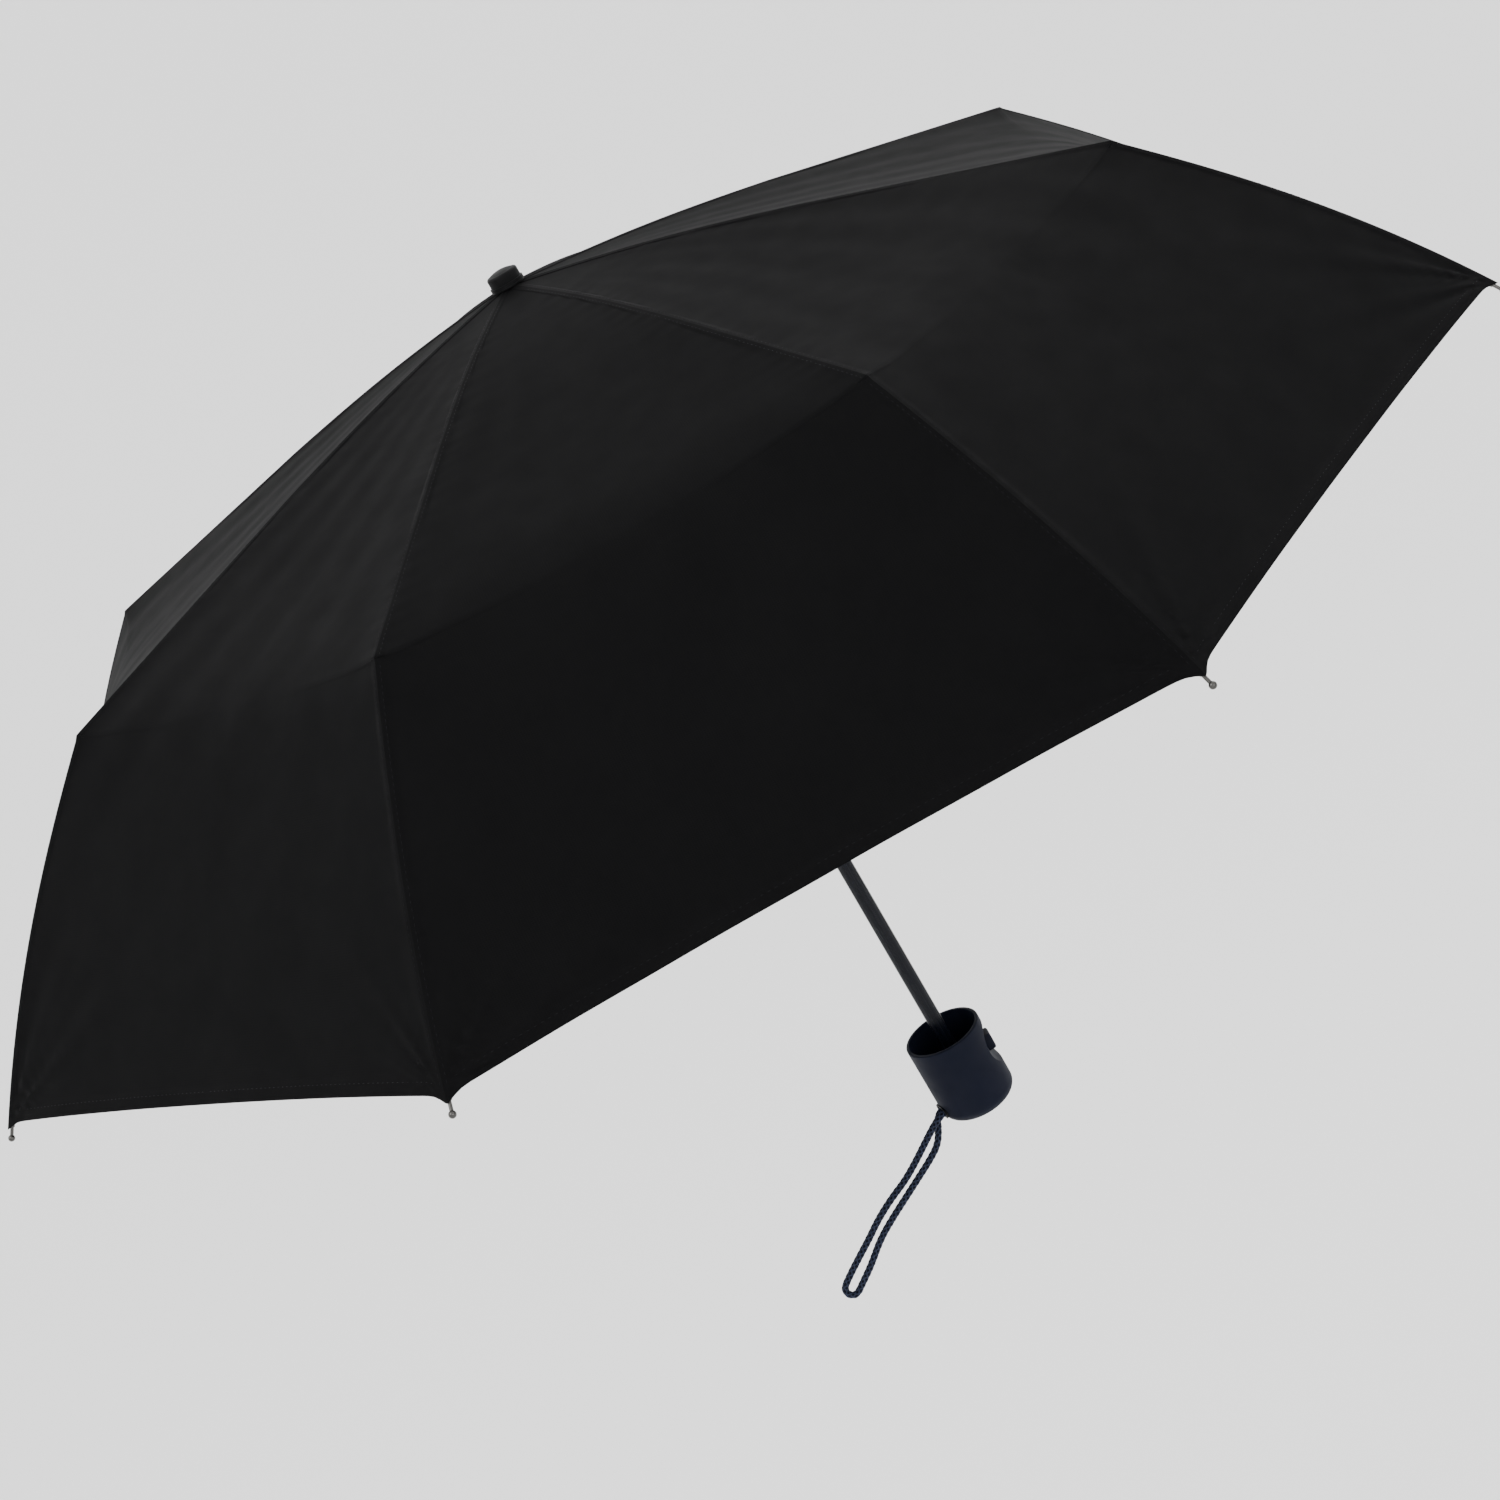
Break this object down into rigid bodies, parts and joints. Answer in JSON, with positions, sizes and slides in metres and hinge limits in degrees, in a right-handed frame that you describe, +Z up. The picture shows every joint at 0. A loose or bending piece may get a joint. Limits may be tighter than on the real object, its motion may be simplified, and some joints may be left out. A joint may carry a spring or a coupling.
{
  "type": "folding umbrella",
  "caption": "Open folding umbrella: telescoping shaft, hinged three-section ribs under a black canopy, short cup handle with a thumb button and a cord wrist strap.",
  "frame": {"origin": "centre of the handle's flat bottom face, where a hand's heel supports it", "axes": "+Z up the shaft towards the cap; +X towards the thumb button; the wrist strap leaves at the lower -X side"},
  "size_m": [0.8666, 0.8666, 0.6409],
  "materials": {
    "shell_soft_touch": "soft-touch dark blue-black, fine matte grain",
    "button_plastic": "satin dark blue-black moulded",
    "black_plastic": "satin black moulded",
    "black_steel": "semi-gloss black lacquer, fluted",
    "rib_steel": "black-coated steel",
    "plated_steel": "bright zinc-plated wire",
    "nickel": "polished nickel",
    "canopy_cloth": "black pongee, fine plain weave",
    "braided_cord": "dark braided polyester cord"
  },
  "bodies": {
    "handle": {"handle_shell": "shell_soft_touch", "handle_core": "black_plastic", "strap_eyelet": "black_plastic", "wrist_strap": "braided_cord", "button_spring": "plated_steel", "outer_tube": "black_steel"},
    "button": {"push_button": "button_plastic"},
    "middle": {"middle_tube": "black_steel", "middle_tube_catch": "plated_steel"},
    "top": {"top_tube": "black_steel", "top_tube_catch": "plated_steel", "runner_catch": "plated_steel", "opening_spring": "plated_steel", "top_notch": "black_plastic", "notch_wire": "plated_steel", "canopy_washer": "black_plastic", "top_cap": "black_plastic", "canopy": "canopy_cloth"},
    "runner": {"runner": "black_plastic", "runner_wire": "plated_steel"},
    "top_rib_1": {"top_rib_1": "rib_steel"},
    "stretcher_1": {"stretcher_1": "rib_steel"},
    "mid_rib_1": {"mid_rib_1": "rib_steel"},
    "outer_rib_1": {"outer_rib_1": "rib_steel", "tip_1": "nickel"},
    "top_rib_2": {"top_rib_2": "rib_steel"},
    "stretcher_2": {"stretcher_2": "rib_steel"},
    "mid_rib_2": {"mid_rib_2": "rib_steel"},
    "outer_rib_2": {"outer_rib_2": "rib_steel", "tip_2": "nickel"},
    "top_rib_3": {"top_rib_3": "rib_steel"},
    "stretcher_3": {"stretcher_3": "rib_steel"},
    "mid_rib_3": {"mid_rib_3": "rib_steel"},
    "outer_rib_3": {"outer_rib_3": "rib_steel", "tip_3": "nickel"},
    "top_rib_4": {"top_rib_4": "rib_steel"},
    "stretcher_4": {"stretcher_4": "rib_steel"},
    "mid_rib_4": {"mid_rib_4": "rib_steel"},
    "outer_rib_4": {"outer_rib_4": "rib_steel", "tip_4": "nickel"},
    "top_rib_5": {"top_rib_5": "rib_steel"},
    "stretcher_5": {"stretcher_5": "rib_steel"},
    "mid_rib_5": {"mid_rib_5": "rib_steel"},
    "outer_rib_5": {"outer_rib_5": "rib_steel", "tip_5": "nickel"},
    "top_rib_6": {"top_rib_6": "rib_steel"},
    "stretcher_6": {"stretcher_6": "rib_steel"},
    "mid_rib_6": {"mid_rib_6": "rib_steel"},
    "outer_rib_6": {"outer_rib_6": "rib_steel", "tip_6": "nickel"},
    "top_rib_7": {"top_rib_7": "rib_steel"},
    "stretcher_7": {"stretcher_7": "rib_steel"},
    "mid_rib_7": {"mid_rib_7": "rib_steel"},
    "outer_rib_7": {"outer_rib_7": "rib_steel", "tip_7": "nickel"},
    "top_rib_8": {"top_rib_8": "rib_steel"},
    "stretcher_8": {"stretcher_8": "rib_steel"},
    "mid_rib_8": {"mid_rib_8": "rib_steel"},
    "outer_rib_8": {"outer_rib_8": "rib_steel", "tip_8": "nickel"}
  },
  "joints": [
    {"name": "button_press", "type": "slide", "parent": "handle", "child": "button", "axis": [-1, 0, 0], "range_m": [0, 0.0028], "stiffness_N_per_m": 600, "springref_m": -0.001, "deforming": ["button_spring"]},
    {"name": "middle_tube_slide", "type": "slide", "parent": "handle", "child": "middle", "axis": [0, 0, -1], "range_m": [0, 0.15875], "deforming": ["middle_tube_catch"]},
    {"name": "top_tube_slide", "type": "slide", "parent": "middle", "child": "top", "axis": [0, 0, -1], "range_m": [0, 0.15875], "deforming": ["top_tube_catch"]},
    {"name": "runner_slide", "type": "slide", "parent": "top", "child": "runner", "axis": [0, 0, -1], "range_m": [0, 0.14322], "deforming": ["canopy", "runner_catch", "opening_spring"]},
    {"name": "top_rib_1_hinge", "type": "hinge", "parent": "top", "child": "top_rib_1", "pos_m": [0.00325, -0.00785, 0.5645], "axis": [-0.9239, -0.3827, 0], "range_deg": [-79.54, 0]},
    {"name": "stretcher_1_hinge", "type": "hinge", "parent": "top_rib_1", "child": "stretcher_1", "pos_m": [0.04088, -0.09869, 0.54628], "axis": [-0.9239, -0.3827, 0], "range_deg": [0, 143.57]},
    {"name": "mid_rib_1_hinge", "type": "hinge", "parent": "top_rib_1", "child": "mid_rib_1", "pos_m": [0.06379, -0.15401, 0.54006], "axis": [-0.9239, -0.3827, 0], "range_deg": [0, 183.99]},
    {"name": "outer_rib_1_hinge", "type": "hinge", "parent": "mid_rib_1", "child": "outer_rib_1", "pos_m": [0.12427, -0.3, 0.49608], "axis": [-0.9239, -0.3827, 0], "range_deg": [-148.72, 0]},
    {"name": "top_rib_2_hinge", "type": "hinge", "parent": "top", "child": "top_rib_2", "pos_m": [0.00785, -0.00325, 0.5645], "axis": [-0.3827, -0.9239, 0], "range_deg": [-79.54, 0]},
    {"name": "stretcher_2_hinge", "type": "hinge", "parent": "top_rib_2", "child": "stretcher_2", "pos_m": [0.09869, -0.04088, 0.54628], "axis": [-0.3827, -0.9239, 0], "range_deg": [0, 143.57]},
    {"name": "mid_rib_2_hinge", "type": "hinge", "parent": "top_rib_2", "child": "mid_rib_2", "pos_m": [0.15401, -0.06379, 0.54006], "axis": [-0.3827, -0.9239, 0], "range_deg": [0, 183.99]},
    {"name": "outer_rib_2_hinge", "type": "hinge", "parent": "mid_rib_2", "child": "outer_rib_2", "pos_m": [0.3, -0.12427, 0.49608], "axis": [-0.3827, -0.9239, 0], "range_deg": [-148.72, 0]},
    {"name": "top_rib_3_hinge", "type": "hinge", "parent": "top", "child": "top_rib_3", "pos_m": [0.00785, 0.00325, 0.5645], "axis": [0.3827, -0.9239, 0], "range_deg": [-79.54, 0]},
    {"name": "stretcher_3_hinge", "type": "hinge", "parent": "top_rib_3", "child": "stretcher_3", "pos_m": [0.09869, 0.04088, 0.54628], "axis": [0.3827, -0.9239, 0], "range_deg": [0, 143.57]},
    {"name": "mid_rib_3_hinge", "type": "hinge", "parent": "top_rib_3", "child": "mid_rib_3", "pos_m": [0.15401, 0.06379, 0.54006], "axis": [0.3827, -0.9239, 0], "range_deg": [0, 183.99]},
    {"name": "outer_rib_3_hinge", "type": "hinge", "parent": "mid_rib_3", "child": "outer_rib_3", "pos_m": [0.3, 0.12427, 0.49608], "axis": [0.3827, -0.9239, 0], "range_deg": [-148.72, 0]},
    {"name": "top_rib_4_hinge", "type": "hinge", "parent": "top", "child": "top_rib_4", "pos_m": [0.00325, 0.00785, 0.5645], "axis": [0.9239, -0.3827, 0], "range_deg": [-79.54, 0]},
    {"name": "stretcher_4_hinge", "type": "hinge", "parent": "top_rib_4", "child": "stretcher_4", "pos_m": [0.04088, 0.09869, 0.54628], "axis": [0.9239, -0.3827, 0], "range_deg": [0, 143.57]},
    {"name": "mid_rib_4_hinge", "type": "hinge", "parent": "top_rib_4", "child": "mid_rib_4", "pos_m": [0.06379, 0.15401, 0.54006], "axis": [0.9239, -0.3827, 0], "range_deg": [0, 183.99]},
    {"name": "outer_rib_4_hinge", "type": "hinge", "parent": "mid_rib_4", "child": "outer_rib_4", "pos_m": [0.12427, 0.3, 0.49608], "axis": [0.9239, -0.3827, 0], "range_deg": [-148.72, 0]},
    {"name": "top_rib_5_hinge", "type": "hinge", "parent": "top", "child": "top_rib_5", "pos_m": [-0.00325, 0.00785, 0.5645], "axis": [0.9239, 0.3827, 0], "range_deg": [-79.54, 0]},
    {"name": "stretcher_5_hinge", "type": "hinge", "parent": "top_rib_5", "child": "stretcher_5", "pos_m": [-0.04088, 0.09869, 0.54628], "axis": [0.9239, 0.3827, 0], "range_deg": [0, 143.57]},
    {"name": "mid_rib_5_hinge", "type": "hinge", "parent": "top_rib_5", "child": "mid_rib_5", "pos_m": [-0.06379, 0.15401, 0.54006], "axis": [0.9239, 0.3827, 0], "range_deg": [0, 183.99]},
    {"name": "outer_rib_5_hinge", "type": "hinge", "parent": "mid_rib_5", "child": "outer_rib_5", "pos_m": [-0.12427, 0.3, 0.49608], "axis": [0.9239, 0.3827, 0], "range_deg": [-148.72, 0]},
    {"name": "top_rib_6_hinge", "type": "hinge", "parent": "top", "child": "top_rib_6", "pos_m": [-0.00785, 0.00325, 0.5645], "axis": [0.3827, 0.9239, 0], "range_deg": [-79.54, 0]},
    {"name": "stretcher_6_hinge", "type": "hinge", "parent": "top_rib_6", "child": "stretcher_6", "pos_m": [-0.09869, 0.04088, 0.54628], "axis": [0.3827, 0.9239, 0], "range_deg": [0, 143.57]},
    {"name": "mid_rib_6_hinge", "type": "hinge", "parent": "top_rib_6", "child": "mid_rib_6", "pos_m": [-0.15401, 0.06379, 0.54006], "axis": [0.3827, 0.9239, 0], "range_deg": [0, 183.99]},
    {"name": "outer_rib_6_hinge", "type": "hinge", "parent": "mid_rib_6", "child": "outer_rib_6", "pos_m": [-0.3, 0.12427, 0.49608], "axis": [0.3827, 0.9239, 0], "range_deg": [-148.72, 0]},
    {"name": "top_rib_7_hinge", "type": "hinge", "parent": "top", "child": "top_rib_7", "pos_m": [-0.00785, -0.00325, 0.5645], "axis": [-0.3827, 0.9239, 0], "range_deg": [-79.54, 0]},
    {"name": "stretcher_7_hinge", "type": "hinge", "parent": "top_rib_7", "child": "stretcher_7", "pos_m": [-0.09869, -0.04088, 0.54628], "axis": [-0.3827, 0.9239, 0], "range_deg": [0, 143.57]},
    {"name": "mid_rib_7_hinge", "type": "hinge", "parent": "top_rib_7", "child": "mid_rib_7", "pos_m": [-0.15401, -0.06379, 0.54006], "axis": [-0.3827, 0.9239, 0], "range_deg": [0, 183.99]},
    {"name": "outer_rib_7_hinge", "type": "hinge", "parent": "mid_rib_7", "child": "outer_rib_7", "pos_m": [-0.3, -0.12427, 0.49608], "axis": [-0.3827, 0.9239, 0], "range_deg": [-148.72, 0]},
    {"name": "top_rib_8_hinge", "type": "hinge", "parent": "top", "child": "top_rib_8", "pos_m": [-0.00325, -0.00785, 0.5645], "axis": [-0.9239, 0.3827, 0], "range_deg": [-79.54, 0]},
    {"name": "stretcher_8_hinge", "type": "hinge", "parent": "top_rib_8", "child": "stretcher_8", "pos_m": [-0.04088, -0.09869, 0.54628], "axis": [-0.9239, 0.3827, 0], "range_deg": [0, 143.57]},
    {"name": "mid_rib_8_hinge", "type": "hinge", "parent": "top_rib_8", "child": "mid_rib_8", "pos_m": [-0.06379, -0.15401, 0.54006], "axis": [-0.9239, 0.3827, 0], "range_deg": [0, 183.99]},
    {"name": "outer_rib_8_hinge", "type": "hinge", "parent": "mid_rib_8", "child": "outer_rib_8", "pos_m": [-0.12427, -0.3, 0.49608], "axis": [-0.9239, 0.3827, 0], "range_deg": [-148.72, 0]}
  ],
  "couplings": [
    {"joint": "top_tube_slide", "follows": "middle_tube_slide", "ratio": 1},
    {"joint": "top_rib_1_hinge", "follows": "runner_slide", "rad_per_m": -9.6883},
    {"joint": "stretcher_1_hinge", "follows": "runner_slide", "rad_per_m": 17.488},
    {"joint": "mid_rib_1_hinge", "follows": "runner_slide", "rad_per_m": 22.411},
    {"joint": "outer_rib_1_hinge", "follows": "runner_slide", "rad_per_m": -18.115},
    {"joint": "top_rib_2_hinge", "follows": "runner_slide", "rad_per_m": -9.6883},
    {"joint": "stretcher_2_hinge", "follows": "runner_slide", "rad_per_m": 17.488},
    {"joint": "mid_rib_2_hinge", "follows": "runner_slide", "rad_per_m": 22.411},
    {"joint": "outer_rib_2_hinge", "follows": "runner_slide", "rad_per_m": -18.115},
    {"joint": "top_rib_3_hinge", "follows": "runner_slide", "rad_per_m": -9.6883},
    {"joint": "stretcher_3_hinge", "follows": "runner_slide", "rad_per_m": 17.488},
    {"joint": "mid_rib_3_hinge", "follows": "runner_slide", "rad_per_m": 22.411},
    {"joint": "outer_rib_3_hinge", "follows": "runner_slide", "rad_per_m": -18.115},
    {"joint": "top_rib_4_hinge", "follows": "runner_slide", "rad_per_m": -9.6883},
    {"joint": "stretcher_4_hinge", "follows": "runner_slide", "rad_per_m": 17.488},
    {"joint": "mid_rib_4_hinge", "follows": "runner_slide", "rad_per_m": 22.411},
    {"joint": "outer_rib_4_hinge", "follows": "runner_slide", "rad_per_m": -18.115},
    {"joint": "top_rib_5_hinge", "follows": "runner_slide", "rad_per_m": -9.6883},
    {"joint": "stretcher_5_hinge", "follows": "runner_slide", "rad_per_m": 17.488},
    {"joint": "mid_rib_5_hinge", "follows": "runner_slide", "rad_per_m": 22.411},
    {"joint": "outer_rib_5_hinge", "follows": "runner_slide", "rad_per_m": -18.115},
    {"joint": "top_rib_6_hinge", "follows": "runner_slide", "rad_per_m": -9.6883},
    {"joint": "stretcher_6_hinge", "follows": "runner_slide", "rad_per_m": 17.488},
    {"joint": "mid_rib_6_hinge", "follows": "runner_slide", "rad_per_m": 22.411},
    {"joint": "outer_rib_6_hinge", "follows": "runner_slide", "rad_per_m": -18.115},
    {"joint": "top_rib_7_hinge", "follows": "runner_slide", "rad_per_m": -9.6883},
    {"joint": "stretcher_7_hinge", "follows": "runner_slide", "rad_per_m": 17.488},
    {"joint": "mid_rib_7_hinge", "follows": "runner_slide", "rad_per_m": 22.411},
    {"joint": "outer_rib_7_hinge", "follows": "runner_slide", "rad_per_m": -18.115},
    {"joint": "top_rib_8_hinge", "follows": "runner_slide", "rad_per_m": -9.6883},
    {"joint": "stretcher_8_hinge", "follows": "runner_slide", "rad_per_m": 17.488},
    {"joint": "mid_rib_8_hinge", "follows": "runner_slide", "rad_per_m": 22.411},
    {"joint": "outer_rib_8_hinge", "follows": "runner_slide", "rad_per_m": -18.115}
  ]
}
